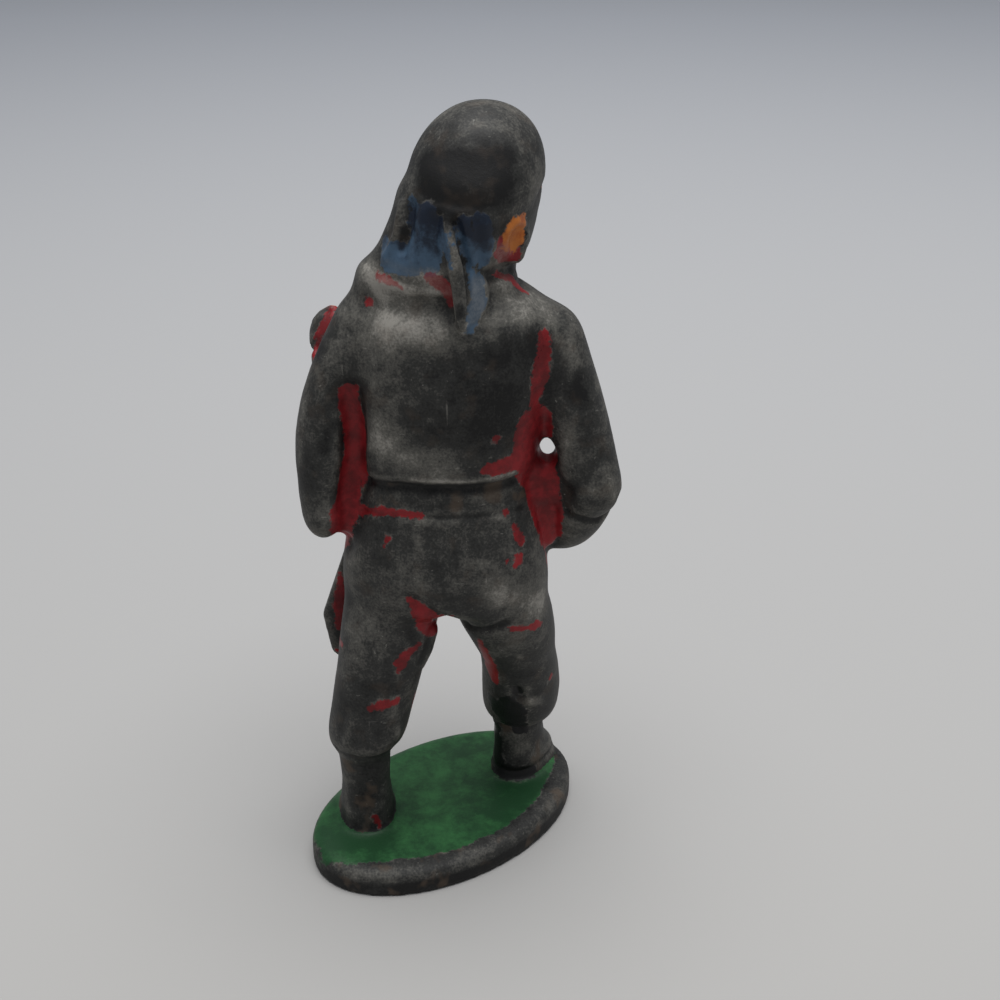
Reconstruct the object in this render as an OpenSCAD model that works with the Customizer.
// Cast lead toy figure of a pirate in a tied head scarf, standing on an oval base.
// Millimetres. The origin is the centre of the base's underside, +Z is up and the figure faces -Y,
// so +X is the figure's own left. Every sub-part seats face to face on the ones that carry it.

/* [Base] */
// Length of the oval base
base_len = 32.4; // [31:0.2:40]
// Width of the oval base
base_wid = 20.6; // [19.6:0.2:26]
// Height of the base's upright edge
base_edge = 2.2; // [1.4:0.1:4]
// Height of the rounded shoulder above the upright edge
base_crown = 1.0; // [0.6:0.1:1.6]
// Inset of the top surface from the upright edge
base_inset = 1.5; // [1:0.1:2]
// Turn of the base's long axis from the figure's left
base_turn = 37; // [32:1:42]

/* [Boots] */
// Side-to-side distance between the two boot shafts
stance = 16.8; // [15.6:0.2:18]
// Front-to-back distance between the two boot shafts
stride = 8.9; // [6:0.2:10]
// Height of the left boot from the base to the breeches
left_boot_h = 9.8; // [8.6:0.1:12]
// Height of the right boot from the base to the breeches
right_boot_h = 7.5; // [7:0.1:9.6]
// Width of a boot's shaft
boot_wid = 5.7; // [5:0.1:6.2]
// Depth of a boot's shaft, front to back
boot_dep = 6.4; // [5.6:0.1:7]
// Length of a boot's sole
sole_len = 8.8; // [8.2:0.1:9.6]
// Outward turn of the right foot
right_toe_out = 33; // [26:1:40]
// Outward turn of the left foot
left_toe_out = 8; // [0:1:16]

/* [Breeches] */
// Height of the left breeches leg from the boot to the crotch
leg_h = 17.5; // [16:0.1:18.6]
// Width of a breeches leg where it blouses over the boot
blouse_wid = 8.7; // [7.8:0.1:9.2]
// Width of the left breeches leg at the knee
left_knee_wid = 9.2; // [8.4:0.1:9.6]
// Width of the right breeches leg at the knee
right_knee_wid = 8.2; // [7.4:0.1:8.8]
// How far the right knee stands out to the side
knee_out = 1.1; // [0.4:0.1:1.6]
// Height of the seat from the crotch to the belt
seat_h = 12.5; // [11.6:0.1:14]
// Width of the seat at the hips
hip_wid = 21.2; // [20:0.2:22.6]
// Depth of the seat, front to back
hip_dep = 13.8; // [12.8:0.2:15]

/* [Belt] */
// Height of the belt
belt_h = 3.0; // [2:0.1:4]
// Width of the waist inside the belt
waist_wid = 17.2; // [16.4:0.1:18.2]
// Depth of the waist inside the belt
waist_dep = 12.2; // [11.4:0.1:12.8]
// Width of the buckle
buckle_wid = 4.4; // [3.6:0.1:5]

/* [Shirt] */
// Height of the shirt from the belt to the neck
shirt_h = 18.1; // [16.4:0.1:19.6]
// Width of the shirt across the chest
chest_wid = 19.4; // [18.4:0.1:20.4]
// Depth of the chest, front to back
chest_dep = 13.8; // [13:0.1:14.6]
// Sideways lean of the body above the belt, towards its right
lean = 4.6; // [3:0.2:6]
// Height of the rolled collar
collar_h = 1.3; // [1:0.1:1.8]
// Height of the shirt's open neck, from its point to the collar
neckline_h = 6.8; // [5:0.1:8]
// Width of the shirt's open neck below the collar
neckline_wid = 5.2; // [4.2:0.1:6]
// Depth of the shirt's open neck
neckline_dep = 0.6; // [0.4:0.05:0.8]

/* [Arms] */
// How far the left elbow stands out from the waist
left_elbow_out = 2.5; // [1.8:0.05:3]
// How far the right elbow stands out from the waist
right_elbow_out = 6.1; // [5.6:0.1:6.8]
// Length of the left forearm from the elbow to the cuff
left_forearm = 14.5; // [13.2:0.1:15.4]
// Length of the right forearm from the elbow to the cuff
right_forearm = 11.2; // [10.4:0.1:12]
// Radius of a sleeve at the shoulder
shoulder_r = 3.7; // [3.4:0.1:4]
// Radius of a sleeve between shoulder and elbow
sleeve_r = 2.95; // [2.7:0.05:3.2]
// Radius of a sleeve at the wrist
wrist_r = 2.1; // [1.9:0.1:2.3]
// Length of a turned-back cuff
cuff_len = 1.5; // [1:0.1:2]
// Length of a closed fist across its knuckles
hand_len = 5.0; // [4.4:0.1:5.6]
// Radius of a closed fist
hand_r = 2.7; // [2.4:0.1:3]
// Thickness of the cast webs between the arms and the body
web_thk = 2.6; // [2:0.1:3.2]
// Height of the small hole in the right web
hole_h = 2.8; // [2:0.1:3.4]

/* [Head] */
// Height of the face from the chin to the scarf's brim
face_h = 7.8; // [7:0.1:8.6]
// Width of the head at the brim
head_wid = 11.7; // [11:0.1:12.4]
// Depth of the head at the brim, front to back
head_dep = 14.2; // [13.4:0.1:15]
// Turn of the head towards the figure's right
head_turn = 20; // [10:1:28]
// Radius of the neck
neck_r = 3.7; // [3.4:0.1:4]
// Length of the ear
ear_len = 4.2; // [3.6:0.1:4.8]

/* [Scarf] */
// Height of the scarf's cap above its brim
cap_h = 7.7; // [6.8:0.1:8.6]
// Backward tilt of the brim
brim_tilt = 12; // [6:1:16]
// How far the scarf's cloth stands out from the head
cloth_thk = 0.3; // [0.2:0.05:0.5]
// Width of the scarf's narrow end, which hangs down the back
tail_wid = 1.3; // [1.1:0.1:1.6]
// Width of the scarf's flat end, beside the narrow one
flap_wid = 2.0; // [1.6:0.1:2.4]

/* [Cutlass] */
// Length of the blade
blade_len = 26.5; // [24:0.5:28]
// Breadth of the blade at its widest, near the point
blade_wid = 6.4; // [5.4:0.1:7.2]
// Breadth of the blade at the guard
blade_root = 3.2; // [2.6:0.1:3.8]
// Thickness of the blade
blade_thk = 1.6; // [1.3:0.1:2]
// Radius of the round guard
guard_r = 2.3; // [2:0.1:2.6]
// Length of the grip, with its pommel
grip_len = 5.2; // [4.4:0.1:6]

/* [Hidden] */

lead = "dimgray";
red = "firebrick";
blue = "steelblue";
green = "forestgreen";
black = "#2b2b2b";
flesh = "sandybrown";

// Sides of a trunk section, of a limb section and of a small section
trunk_n = 32;
limb_n = 20;
small_n = 14;

// Heights of the faces that the stacked sub-parts share
z_stand = base_edge + base_crown;
z_left_boot = z_stand + left_boot_h;
z_right_boot = z_stand + right_boot_h;
z_crotch = z_left_boot + leg_h;
z_belt = z_crotch + seat_h;
z_shirt = z_belt + belt_h;
z_neck = z_shirt + shirt_h;
chin_gap = 0.6;
z_chin = z_neck + chin_gap;
z_brim = z_chin + face_h;

// How far the seat and the shirt stand out past the belt between them
seat_over = 0.3;
shirt_over = 0.6;

// Plan positions: the boots stand either side of the base's centre, and the trunk over them
stance_y = -1.5;
trunk_x = -0.7;
trunk_y = 0.4;
left_foot = [stance / 2, stance_y + stride / 2];
right_foot = [-stance / 2, stance_y - stride / 2];
function trunk_at(z) = [trunk_x - tan(lean) * max(0, z - z_belt), trunk_y];
head_at = trunk_at(z_chin) - [head_wid * 0.137, head_dep * 0.085];
neck_at = trunk_at(z_neck) - [neck_r * 0.216, neck_r * 0.054];

// Arms: the shoulders sit in the shirt, the elbows stand out from the waist beside the belt
shoulder_z = z_neck - shirt_h * 0.31;
left_shoulder = [trunk_at(shoulder_z)[0] + chest_wid * 0.402, trunk_y, shoulder_z + shirt_h * 0.072];
right_shoulder = [trunk_at(shoulder_z)[0] - chest_wid * 0.443, trunk_y, shoulder_z];
left_elbow = [
    trunk_x + waist_wid / 2 + left_elbow_out,
    trunk_y + sleeve_r * 0.64,
    z_belt - sleeve_r * 0.71
];
right_elbow = [
    trunk_x - waist_wid / 2 - right_elbow_out,
    trunk_y + sleeve_r * 0.51,
    z_belt + sleeve_r * 0.17
];
// The left forearm rises straight ahead, and the right one drops and turns in to the hip
left_rise = 49.1;
right_drop = 37.4;
right_turn_in = 35.8;
left_dir = [0, -cos(left_rise), sin(left_rise)];
right_dir = [
    cos(right_drop) * sin(right_turn_in),
    -cos(right_drop) * cos(right_turn_in),
    -sin(right_drop)
];
left_wrist = left_elbow + left_dir * left_forearm;
right_wrist = right_elbow + right_dir * right_forearm;
left_bow = sleeve_r * 0.71;
right_bow = sleeve_r * 0.17;
forearm_sag = sleeve_r * 0.78;
// A fist's centre lies past its cuff, and a fist lies across its arm
left_fist = left_wrist + left_dir * (cuff_len + hand_r * 0.8);
right_fist = right_wrist + right_dir * (cuff_len + hand_r * 0.6) + hand_r * [0.12, 0.1, 0.14];
left_across = unit([0.6, 0.4, 0.7]);
right_across = unit([0.7, 0.2, 0.5]);

// The cutlass hangs from the belt at the left hip, point down past the thigh
guard_at = [trunk_x + waist_wid * 0.27, trunk_y - waist_dep * 0.47, z_shirt];
blade_rake = 16.3;
blade_back = 2.7;
blade_dir = unit([tan(blade_rake), tan(blade_back), -1]);
blade_up = unit(cross([0, -1, 0], blade_dir));
guard_thk = 1.1;

function unit(v) = v / norm(v);
function mix(a, b, t) = a + (b - a) * t;

// One point of an oval with half sizes a and b, where a power above 2 squares it off
function oval(a, b, angle, power = 2) =
    let (c = cos(angle), s = sin(angle))
    [a * sign(c) * pow(abs(c), 2 / power), b * sign(s) * pow(abs(s), 2 / power)];

function turned(p, angle) = [p[0] * cos(angle) - p[1] * sin(angle), p[0] * sin(angle) + p[1] * cos(angle)];

// A level section at height z round the plan point c, turned about Z and tilted so that its front is higher
function level(n, z, c, a, b, turn = 0, tilt = 0, power = 2) = [
    for (i = [0:n - 1])
        let (p = oval(a, b, 360 * i / n, power), q = turned([p[0], p[1] * cos(tilt)], turn))
        [c[0] + q[0], c[1] + q[1], z - p[1] * sin(tilt)]
];

// A section square to the direction d at point p, with half sizes a and b and its width across ref
function cross_section(n, p, d, a, b, ref = [0.1, 0, 1]) =
    let (u = unit(cross(d, ref)), v = cross(u, d))
    [for (i = [0:n - 1]) let (q = oval(a, b, -360 * i / n)) p + u * q[0] + v * q[1]];

// Solid skinned over sections of equal count, from the first to the last
module skin(sections) {
    n = len(sections[0]);
    last = len(sections) - 1;
    polyhedron(
        points = [for (s = sections) each s],
        faces = concat(
            [[for (i = [0:n - 1]) i]],
            [for (k = [0:last - 1]) for (i = [0:n - 1])
                let (j = (i + 1) % n)
                each [
                    [k * n + i, (k + 1) * n + j, k * n + j],
                    [k * n + i, (k + 1) * n + i, (k + 1) * n + j]
                ]],
            [[for (i = [n - 1:-1:0]) last * n + i]]
        )
    );
}

// Limb from p to q with radii rp, rm at the middle and rq. It is bowed at its middle, and domed at
// either end when asked.
module limb(p, q, rp, rm, rq, dome_p = true, dome_q = true, bow = [0, 0, 0], n = limb_n, steps = 7) {
    dome_steps = [15, 40, 65];
    function radius(t) = rp * (1 - t) * (1 - 2 * t) + 4 * rm * t * (1 - t) + rq * t * (2 * t - 1);
    function along(t) = mix(p, q, t) + bow * sin(180 * t);
    function heading(t) = unit(along(t + 0.02) - along(t - 0.02));
    start = heading(0);
    end = heading(1);
    skin(concat(
        dome_p ? [for (g = dome_steps)
            cross_section(n, p - start * rp * cos(g), start, rp * sin(g), rp * sin(g))] : [],
        [for (k = [0:steps])
            let (t = k / steps)
            cross_section(n, along(t), heading(t), radius(t), radius(t))],
        dome_q ? [for (k = [2:-1:0])
            let (g = dome_steps[k])
            cross_section(n, q + end * rq * cos(g), end, rq * sin(g), rq * sin(g))] : []
    ));
}

// Oval plate with an upright edge and a rounded shoulder
module base() color(green) {
    outline_n = 64;
    shoulder_steps = 4;
    a = base_len / 2;
    b = base_wid / 2;
    linear_extrude(base_edge)
        polygon([for (i = [0:outline_n - 1]) turned(oval(a, b, 360 * i / outline_n), base_turn)]);
    skin([for (k = [0:shoulder_steps])
        let (g = 90 * k / shoulder_steps, inset = base_inset * (1 - cos(g)))
        level(outline_n, base_edge + base_crown * sin(g), [0, 0], a - inset, b - inset, base_turn)]);
}

// Boot: a sole that runs forward from the heel, an instep and a slightly flared shaft
module boot(foot, toe_turn, boot_h) {
    sole_t = 1.0;
    shaft = boot_dep / 2;
    heel = shaft + sole_t * 0.2;
    toe = sole_len - heel;
    function part_at(z, back, front, half) =
        level(limb_n, z, foot + turned([0, (back - front) / 2], toe_turn), half, (back + front) / 2,
            toe_turn, 0, 2.3);
    color(black) skin([
        part_at(z_stand, heel, toe, boot_wid * 0.5),
        part_at(z_stand + sole_t, heel + 0.1, toe + 0.1, boot_wid * 0.52),
        part_at(z_stand + sole_t * 2.2, heel - 0.1, toe - 0.7, boot_wid * 0.5),
        part_at(z_stand + boot_h * 0.38, shaft - 0.1, mix(shaft, toe, 0.42), boot_wid * 0.47),
        part_at(z_stand + boot_h * 0.54, shaft - 0.2, shaft * 0.98, boot_wid * 0.46),
        part_at(z_stand + boot_h * 0.78, shaft - 0.1, shaft * 0.95, boot_wid * 0.48),
        part_at(z_stand + boot_h, shaft, shaft, boot_wid * 0.51)
    ]);
}

module left_boot() boot(left_foot, left_toe_out, left_boot_h);

module right_boot() boot(right_foot, -right_toe_out, right_boot_h);

// Breeches leg that blouses over the boot, closes at the knee and widens to its half of the seat
module breeches_leg(foot, z_boot, side, knee_wid, bow) color(red) {
    crotch_gap = 0.15;
    half_top = hip_wid / 4 - crotch_gap;
    top = [trunk_x + side * hip_wid / 4, trunk_y];
    blouse = blouse_wid / 2;
    knee = knee_wid / 2;
    top_power = 2.5;
    // Each row is a share of the leg's height, its half width and its depth over its width
    rows = [
        [0, boot_wid * 0.54, 1.12],
        [0.05, blouse * 0.9, 1.1],
        [0.13, blouse * 0.98, 1.12],
        [0.27, blouse, 1.12],
        [0.42, mix(blouse, knee, 0.6), 1.13],
        [0.56, knee, 1.16],
        [0.72, mix(knee, half_top, 0.5), 1.15],
        [0.87, mix(knee, half_top, 0.86), 1.13],
        [1, half_top, 1.11]
    ];
    skin([for (r = rows)
        let (
            at = mix(foot, top, r[0]) + [side * bow * sin(180 * r[0]), 0],
            power = mix(2, top_power, r[0])
        )
        level(limb_n + 4, mix(z_boot, z_crotch, r[0]), at, r[1], r[1] * r[2], 0, 0, power)]);
}

module left_breeches_leg() breeches_leg(left_foot, z_left_boot, 1, left_knee_wid, 0);

module right_breeches_leg() breeches_leg(right_foot, z_right_boot, -1, right_knee_wid, knee_out);

// Seat of the breeches, fullest at the hips and drawn in to the belt
module breeches_seat() color(red) {
    hip = hip_wid / 2;
    waist = waist_wid / 2 + seat_over;
    // Each row is a share of the seat's height, its half width, its half depth and how far back it sits
    rows = [
        [0, hip * 0.99, hip_dep * 0.46, 0],
        [0.16, hip, hip_dep * 0.49, hip_dep * 0.015],
        [0.38, hip * 0.98, hip_dep * 0.51, hip_dep * 0.03],
        [0.62, mix(hip, waist, 0.36), hip_dep * 0.5, hip_dep * 0.02],
        [0.85, mix(hip, waist, 0.8), mix(hip_dep, waist_dep, 0.6) / 2, hip_dep * 0.007],
        [1, waist, waist_dep / 2 + seat_over, 0]
    ];
    skin([for (r = rows)
        level(trunk_n, z_crotch + seat_h * r[0], trunk_at(0) + [0, r[3]], r[1], r[2], 0, 0, 2.25)]);
}

// Belt band, drawn in below the shirt that overhangs it
module belt() color(black) {
    belt_round = belt_h * 0.05;
    rows = [[0, -belt_round], [0.15, 0], [0.85, 0], [1, -belt_round]];
    skin([for (r = rows)
        let (z = z_belt + belt_h * r[0])
        level(trunk_n, z, trunk_at(z), waist_wid / 2 + r[1], waist_dep / 2 + r[1], 0, 0, 2.25)]);
}

// Square frame buckle on the front of the belt
module belt_buckle() color(lead) difference() {
    rim = 0.7;
    depth = 2;
    proud = 0.7;
    z_mid = z_belt + belt_h / 2;
    translate([trunk_at(z_mid)[0], trunk_y - waist_dep / 2 - proud, z_mid])
        rotate([-90, 0, 0])
            linear_extrude(depth) difference() {
                square([buckle_wid, belt_h], center = true);
                square([buckle_wid - 2 * rim, belt_h - 2 * rim], center = true);
            }
    trunk();
}

// Form of the shirt: it overhangs the belt, fills to the chest and slopes in to the neck. With an inset
// it is drawn in all round and carried on above the neck.
module shirt_form(inset = 0) {
    chest = chest_wid / 2;
    deep = chest_dep / 2;
    above = 0.06;
    // Each row is a share of the shirt's height, its half width and its half depth
    rows = [
        [0, waist_wid / 2 + shirt_over * 0.2, waist_dep / 2 + shirt_over * 0.2],
        [0.05, waist_wid / 2 + shirt_over, waist_dep / 2 + shirt_over],
        [0.2, chest * 0.94, deep * 0.97],
        [0.42, chest * 0.97, deep],
        [0.62, chest, deep * 0.98],
        [0.78, chest * 0.98, deep * 0.91],
        [0.88, chest * 0.9, deep * 0.82],
        [0.95, chest * 0.73, deep * 0.73],
        [1, chest * 0.54, deep * 0.66],
        if (inset > 0) [1 + above, chest * 0.31, deep * 0.58]
    ];
    skin([for (r = rows)
        let (z = z_shirt + shirt_h * r[0])
        level(trunk_n, z, trunk_at(z), r[1] - inset, r[2] - inset, 0, 0, 2.35)]);
}

// Shirt body, with a V neck cut an even depth into its front
module shirt_body() color(red) difference() {
    z_tip = z_neck - neckline_h;
    x_tip = trunk_at(z_tip)[0];
    // The V is carried on above the shirt at its own slope
    open = 1.2;
    z_open = mix(z_tip, z_neck, open);
    x_open = mix(x_tip, trunk_at(z_neck)[0], open);
    half = neckline_wid / 2 * open;
    shirt_form();
    difference() {
        translate([0, trunk_y, 0])
            rotate([90, 0, 0])
                linear_extrude(chest_dep)
                    polygon([[x_tip, z_tip], [x_open + half, z_open], [x_open - half, z_open]]);
        shirt_form(neckline_dep);
    }
}

// Stacked trunk that the arms, webs and cutlass seat against
module trunk() {
    breeches_seat();
    belt();
    shirt_body();
}

// Whole forms of the arms, before they are cut back to the sub-parts that carry them
module upper_form(shoulder, elbow, bow)
    limb(shoulder, elbow, shoulder_r, sleeve_r * 1.06, sleeve_r, bow = [bow, 0, 0]);

module forearm_form(elbow, wrist)
    limb(elbow, wrist, sleeve_r * 0.88, sleeve_r * 1.04, wrist_r, false, false, [0, 0, -forearm_sag]);

module cuff_form(elbow, wrist) {
    // The cuff follows the forearm's own direction at the wrist
    end = unit(mix(elbow, wrist, 0.96) + [0, 0, -forearm_sag * sin(180 * 0.96)] - wrist);
    limb(wrist, wrist - end * cuff_len, wrist_r + 0.1, wrist_r + 0.5, wrist_r + 0.4,
        false, false, steps = 4);
}

// Closed fist across an arm that points along dir: four finger ridges, with a thumb laid over them on the
// palm side
module fist_form(at, across, dir, palm) {
    fingers = 4;
    steps = fingers * 4;
    ridge_depth = 0.07;
    thumb_r = hand_r * 0.3;
    ahead = unit(dir - across * (dir * across));
    inward = cross(across, ahead) * palm;
    skin([for (k = [0:steps])
        let (
            t = k / steps,
            end = sqrt(1 - pow(abs(2 * t - 1), 4) * 0.7),
            r = hand_r * end * (1 - ridge_depth * cos(360 * fingers * t))
        )
        cross_section(limb_n, at + across * hand_len * (t - 0.5), across, r, r * 0.9)]);
    limb(at + across * hand_len * 0.36 - ahead * hand_r * 0.2 + inward * hand_r * 0.68,
        at + across * hand_len * 0.08 + ahead * hand_r * 0.45 + inward * hand_r * 0.8,
        thumb_r, thumb_r * 1.1, thumb_r * 0.9, n = small_n, steps = 4);
}

// Web of metal left by the mould between an arm and the body
module web_form(shoulder, elbow, side, bow) {
    steps = 6;
    z_top = shoulder[2] - shoulder_r * 0.81;
    z_low = z_belt - belt_h * 0.5;
    skin([for (k = [0:steps])
        let (
            z = mix(z_low, z_top, k / steps),
            t = min(1, (shoulder[2] - z) / (shoulder[2] - elbow[2])),
            arm = mix(shoulder, elbow, t) + [bow * sin(180 * t), 0, 0],
            body = trunk_at(z)[0] + side * waist_wid * 0.42,
            mid = (arm[0] + body) / 2
        )
        level(small_n, z, [mid, mix(trunk_y, arm[1], 0.5)], abs(arm[0] - body) / 2, web_thk / 2, 0, 0, 4)]);
}

module left_arm_form() {
    upper_form(left_shoulder, left_elbow, left_bow);
    web_form(left_shoulder, left_elbow, 1, left_bow);
}

// The right web has a small hole beside the arm
module right_arm_form() {
    t = 0.72;
    hole_wid = 1.4;
    hole_n = 16;
    arm = mix(right_shoulder, right_elbow, t) - [right_bow * sin(180 * t), 0, 0];
    upper_form(right_shoulder, right_elbow, -right_bow);
    difference() {
        web_form(right_shoulder, right_elbow, -1, -right_bow);
        translate([arm[0] + sleeve_r + 0.5, trunk_y - chest_dep, arm[2]])
            rotate([-90, 0, 0])
                linear_extrude(2 * chest_dep)
                    polygon([for (i = [0:hole_n - 1]) oval(hole_wid / 2, hole_h / 2, 360 * i / hole_n)]);
    }
}

module left_upper_sleeve() color(red) difference() {
    left_arm_form();
    trunk();
}

module right_upper_sleeve() color(red) difference() {
    right_arm_form();
    trunk();
}

module left_forearm_sleeve() color(red) difference() {
    forearm_form(left_elbow, left_wrist);
    left_arm_form();
    trunk();
}

module right_forearm_sleeve() color(red) difference() {
    forearm_form(right_elbow, right_wrist);
    right_arm_form();
    trunk();
}

// Turned-back cuffs that close the sleeves' ends
module left_cuff() color(red) difference() {
    cuff_form(left_elbow, left_wrist);
    forearm_form(left_elbow, left_wrist);
}

module right_cuff() color(red) difference() {
    cuff_form(right_elbow, right_wrist);
    forearm_form(right_elbow, right_wrist);
    trunk();
}

module left_hand() color(flesh) difference() {
    fist_form(left_fist, left_across, left_dir, 1);
    cuff_form(left_elbow, left_wrist);
}

module right_hand() color(flesh) difference() {
    fist_form(right_fist, right_across, right_dir, -1);
    cuff_form(right_elbow, right_wrist);
    forearm_form(right_elbow, right_wrist);
    trunk();
}

// Head from the chin to the tilted brim, turned towards the figure's right, with brows, a nose and a chin.
// The cloth is cut with the same form carried a little way up into the cap.
module head_form(over = 0) {
    half = head_wid / 2;
    deep = head_dep / 2;
    nose_wid = head_wid * 0.094;
    // Each row is a share of the face's height, its half width, its half depth, how far forward it sits,
    // and how far its middle stands out in front
    rows = [
        [0, half * 0.36, deep * 0.36, deep * 0.42, deep * 0.01],
        [0.08, half * 0.56, deep * 0.6, deep * 0.28, deep * 0.06],
        [0.2, half * 0.7, deep * 0.77, deep * 0.18, deep * 0.03],
        [0.3, half * 0.77, deep * 0.84, deep * 0.13, deep * 0.01],
        [0.38, half * 0.81, deep * 0.88, deep * 0.1, deep * 0.13],
        [0.44, half * 0.84, deep * 0.9, deep * 0.08, deep * 0.15],
        [0.56, half * 0.89, deep * 0.93, deep * 0.06, deep * 0.1],
        [0.7, half * 0.93, deep * 0.95, deep * 0.03, deep * 0.04],
        [0.8, half * 0.97, deep * 0.99, deep * 0.03, deep * 0.01],
        [1, half, deep, 0, 0],
        if (over > 0) [1 + over / face_h, half * 0.98, deep * 0.98, 0, 0]
    ];
    skin([for (r = rows)
        let (c = head_at + turned([0, -r[3]], -head_turn), n = limb_n + 8)
        [for (i = [0:n - 1])
            let (
                p = oval(r[1], r[2], 360 * i / n, 2.15),
                bump = p[1] < 0 ? r[4] * exp(-pow(p[0] / nose_wid, 2)) : 0,
                q = turned([p[0], (p[1] - bump) * cos(brim_tilt * r[0])], -head_turn)
            )
            [c[0] + q[0], c[1] + q[1], z_chin + face_h * r[0] - p[1] * sin(brim_tilt * r[0])]]]);
}

module head() color(flesh) head_form();

module neck_form()
    skin([for (t = [0, 0.5, 1])
        let (z = mix(z_neck, z_chin + face_h * 0.5, t), at = mix(neck_at, head_at + [0, neck_r * 0.16], t))
        level(limb_n + 4, z, at, neck_r * (1 - 0.1 * t), neck_r * (1.05 - 0.1 * t))]);

module neck() color(flesh) difference() {
    neck_form();
    head();
}

// Low rolled collar round the foot of the neck
module collar() color(red) difference() {
    rows = [[0, 1.25], [0.35, 1.32], [0.75, 1.26], [1, 1.12]];
    skin([for (r = rows)
        level(limb_n + 4, z_neck + collar_h * r[0], neck_at, neck_r * r[1], neck_r * r[1] * 1.05)]);
    neck_form();
    head();
}

// Ear on the right side of the head, below the brim
module right_ear() color(flesh) difference() {
    out = turned([-head_wid * 0.38, head_dep * 0.1], -head_turn);
    at = [head_at[0] + out[0], head_at[1] + out[1], z_chin + face_h * 0.45];
    limb(at + ear_len * [0.05, 0, -0.22], at + ear_len * [-0.03, 0.05, 0.22],
        ear_len * 0.24, ear_len * 0.26, ear_len * 0.28, n = small_n, steps = 3);
    head();
}

// Scarf drawn over the skull: an even dome above its tilted brim, its top a little to the right
module scarf_cap() color(blue) {
    half = head_wid / 2 + cloth_thk;
    deep = head_dep / 2 + cloth_thk;
    hem = cap_h * 0.09;
    top_shift = -head_wid * 0.043;
    dome_steps = 7;
    skin(concat(
        [level(limb_n + 8, z_brim, head_at, half, deep, -head_turn, brim_tilt, 2.15)],
        [for (k = [0:dome_steps])
            let (g = 4 + 83 * k / dome_steps, rise = k / dome_steps)
            level(limb_n + 8, z_brim + hem + (cap_h - hem) * sin(g), head_at + [top_shift * rise, 0],
                half * cos(g), deep * cos(g), -head_turn, brim_tilt * (1 - rise), 2.15)]
    ));
}

// Loose cloth that hangs from the back of the brim to the shoulders, over the nape and the left ear
module drape_form() {
    low = collar_h * 0.6;
    half = head_wid / 2;
    deep = head_dep / 2;
    // Each row is a share of the height from the shoulders, its half width, its half depth, and its shifts
    // left and back
    rows = [
        [0, half * 1.1, deep * 0.58, half * 0.97, deep * 0.2],
        [0.2, half * 1.05, deep * 0.62, half * 0.77, deep * 0.27],
        [0.45, half * 1.05, deep * 0.66, half * 0.49, deep * 0.31],
        [0.72, half * 1.0, deep * 0.7, half * 0.32, deep * 0.3],
        [1, half * 0.98, deep * 0.72, half * 0.2, deep * 0.25]
    ];
    skin([for (r = rows)
        let (z = mix(z_neck - low, z_brim + cap_h * 0.13, r[0]))
        level(limb_n + 8, z, head_at + [r[3], r[4]], r[1], r[2], -head_turn)]);
}

module scarf_drape() color(blue) difference() {
    drape_form();
    scarf_cap();
    head_form(cap_h / 4);
    neck_form();
    collar();
    right_ear();
    shirt_body();
    upper_form(left_shoulder, left_elbow, left_bow);
}

// One hanging end of the scarf, a share wide_top of its width at the top and wide_end at its foot
module hanging(top, end, wid, thk, wide_top, wide_end) {
    steps = 8;
    skin([for (k = [0:steps])
        let (
            t = k / steps,
            p = mix(top, end, t) + [0, tail_wid * 0.37 * sin(180 * t), 0],
            w = wid / 2 * mix(wide_top, wide_end, t) * (k == steps ? 0.6 : 1)
        )
        cross_section(small_n, p, unit(end - top), w, thk / 2, [0, 1, 0.1])]);
}

// Ends of the scarf that hang down the back: a narrow one from the brim, and a flat one beside it
module scarf_tail() color(blue) difference() {
    tail_thk = tail_wid * 1.3;
    flap_thk = tail_wid * 1.1;
    lap = tail_wid * 0.25;
    aside = [-(tail_wid + flap_wid) / 2 + lap, -tail_wid * 0.2, 0];
    top = [head_at[0] + head_wid * 0.205, head_at[1] + head_dep * 0.49, z_brim - cap_h * 0.13];
    end = [trunk_at(z_neck)[0] - neck_r * 0.19, trunk_y + chest_dep * 0.45, z_neck - collar_h * 2];
    hanging(top, end, tail_wid, tail_thk, 0.75, 1.15);
    hanging(mix(top, end, 0.42) + aside * 0.8, end + aside, flap_wid, flap_thk, 0.8, 1);
    drape_form();
    scarf_cap();
    head_form(cap_h / 4);
    neck_form();
    collar();
    shirt_body();
}

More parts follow.
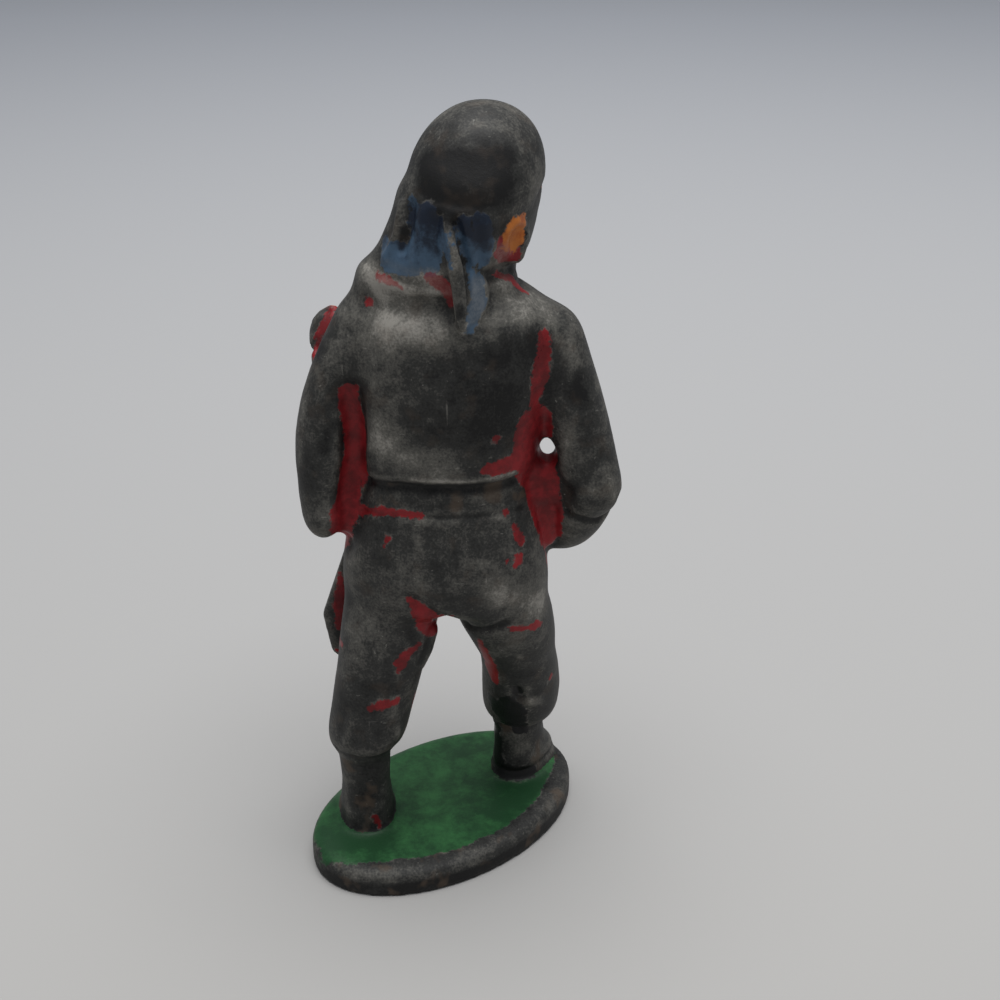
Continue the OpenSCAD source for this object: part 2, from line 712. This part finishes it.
// Broad blade that widens towards a clipped point
module cutlass_blade() color(lead) difference() {
    edge_steps = 8;
    belly = [for (k = [0:edge_steps])
        let (
            t = k / edge_steps,
            b = mix(blade_root, blade_wid, pow(sin(90 * min(1, t / 0.78)), 2))
        )
        [blade_len * t, b / 2 * (t > 0.78 ? cos(80 * (t - 0.78) / 0.22) : 1)]];
    spine = [
        [blade_len * 0.98, -blade_wid * 0.1],
        [blade_len * 0.82, -blade_wid * 0.42],
        [0, -blade_root / 2]
    ];
    side = cross(blade_dir, blade_up);
    origin = guard_at + blade_dir * guard_thk;
    fuller_r = blade_root * 0.25;
    fuller_off = side * (blade_thk / 2 + fuller_r * 0.65);
    fuller_top = origin + blade_dir * blade_len * 0.12;
    fuller_end = origin + blade_dir * blade_len * 0.72;
    multmatrix([for (i = [0:2]) [blade_dir[i], -blade_up[i], -side[i], origin[i]]])
        translate([0, 0, -blade_thk / 2])
            linear_extrude(blade_thk) polygon(concat(belly, spine));
    for (face = [-1, 1])
        limb(fuller_top + fuller_off * face, fuller_end + fuller_off * face,
            fuller_r, fuller_r, fuller_r, n = small_n, steps = 2);
    trunk();
    left_breeches_leg();
}

module cutlass_guard() color(lead) difference() {
    limb(guard_at, guard_at + blade_dir * guard_thk, guard_r * 0.85, guard_r, guard_r * 0.85,
        false, false, steps = 4);
    trunk();
}

// Grip with a ball pommel, above the guard
module cutlass_grip() color(lead) difference() {
    grip_r = 1.0;
    pommel_r = 1.3;
    limb(guard_at, guard_at - blade_dir * (grip_len - pommel_r), grip_r, grip_r, pommel_r,
        false, true, n = small_n);
    trunk();
}

base();
left_boot();
right_boot();
left_breeches_leg();
right_breeches_leg();
breeches_seat();
belt();
belt_buckle();
shirt_body();
collar();
left_upper_sleeve();
right_upper_sleeve();
left_forearm_sleeve();
right_forearm_sleeve();
left_cuff();
right_cuff();
left_hand();
right_hand();
neck();
head();
right_ear();
scarf_cap();
scarf_drape();
scarf_tail();
cutlass_blade();
cutlass_guard();
cutlass_grip();
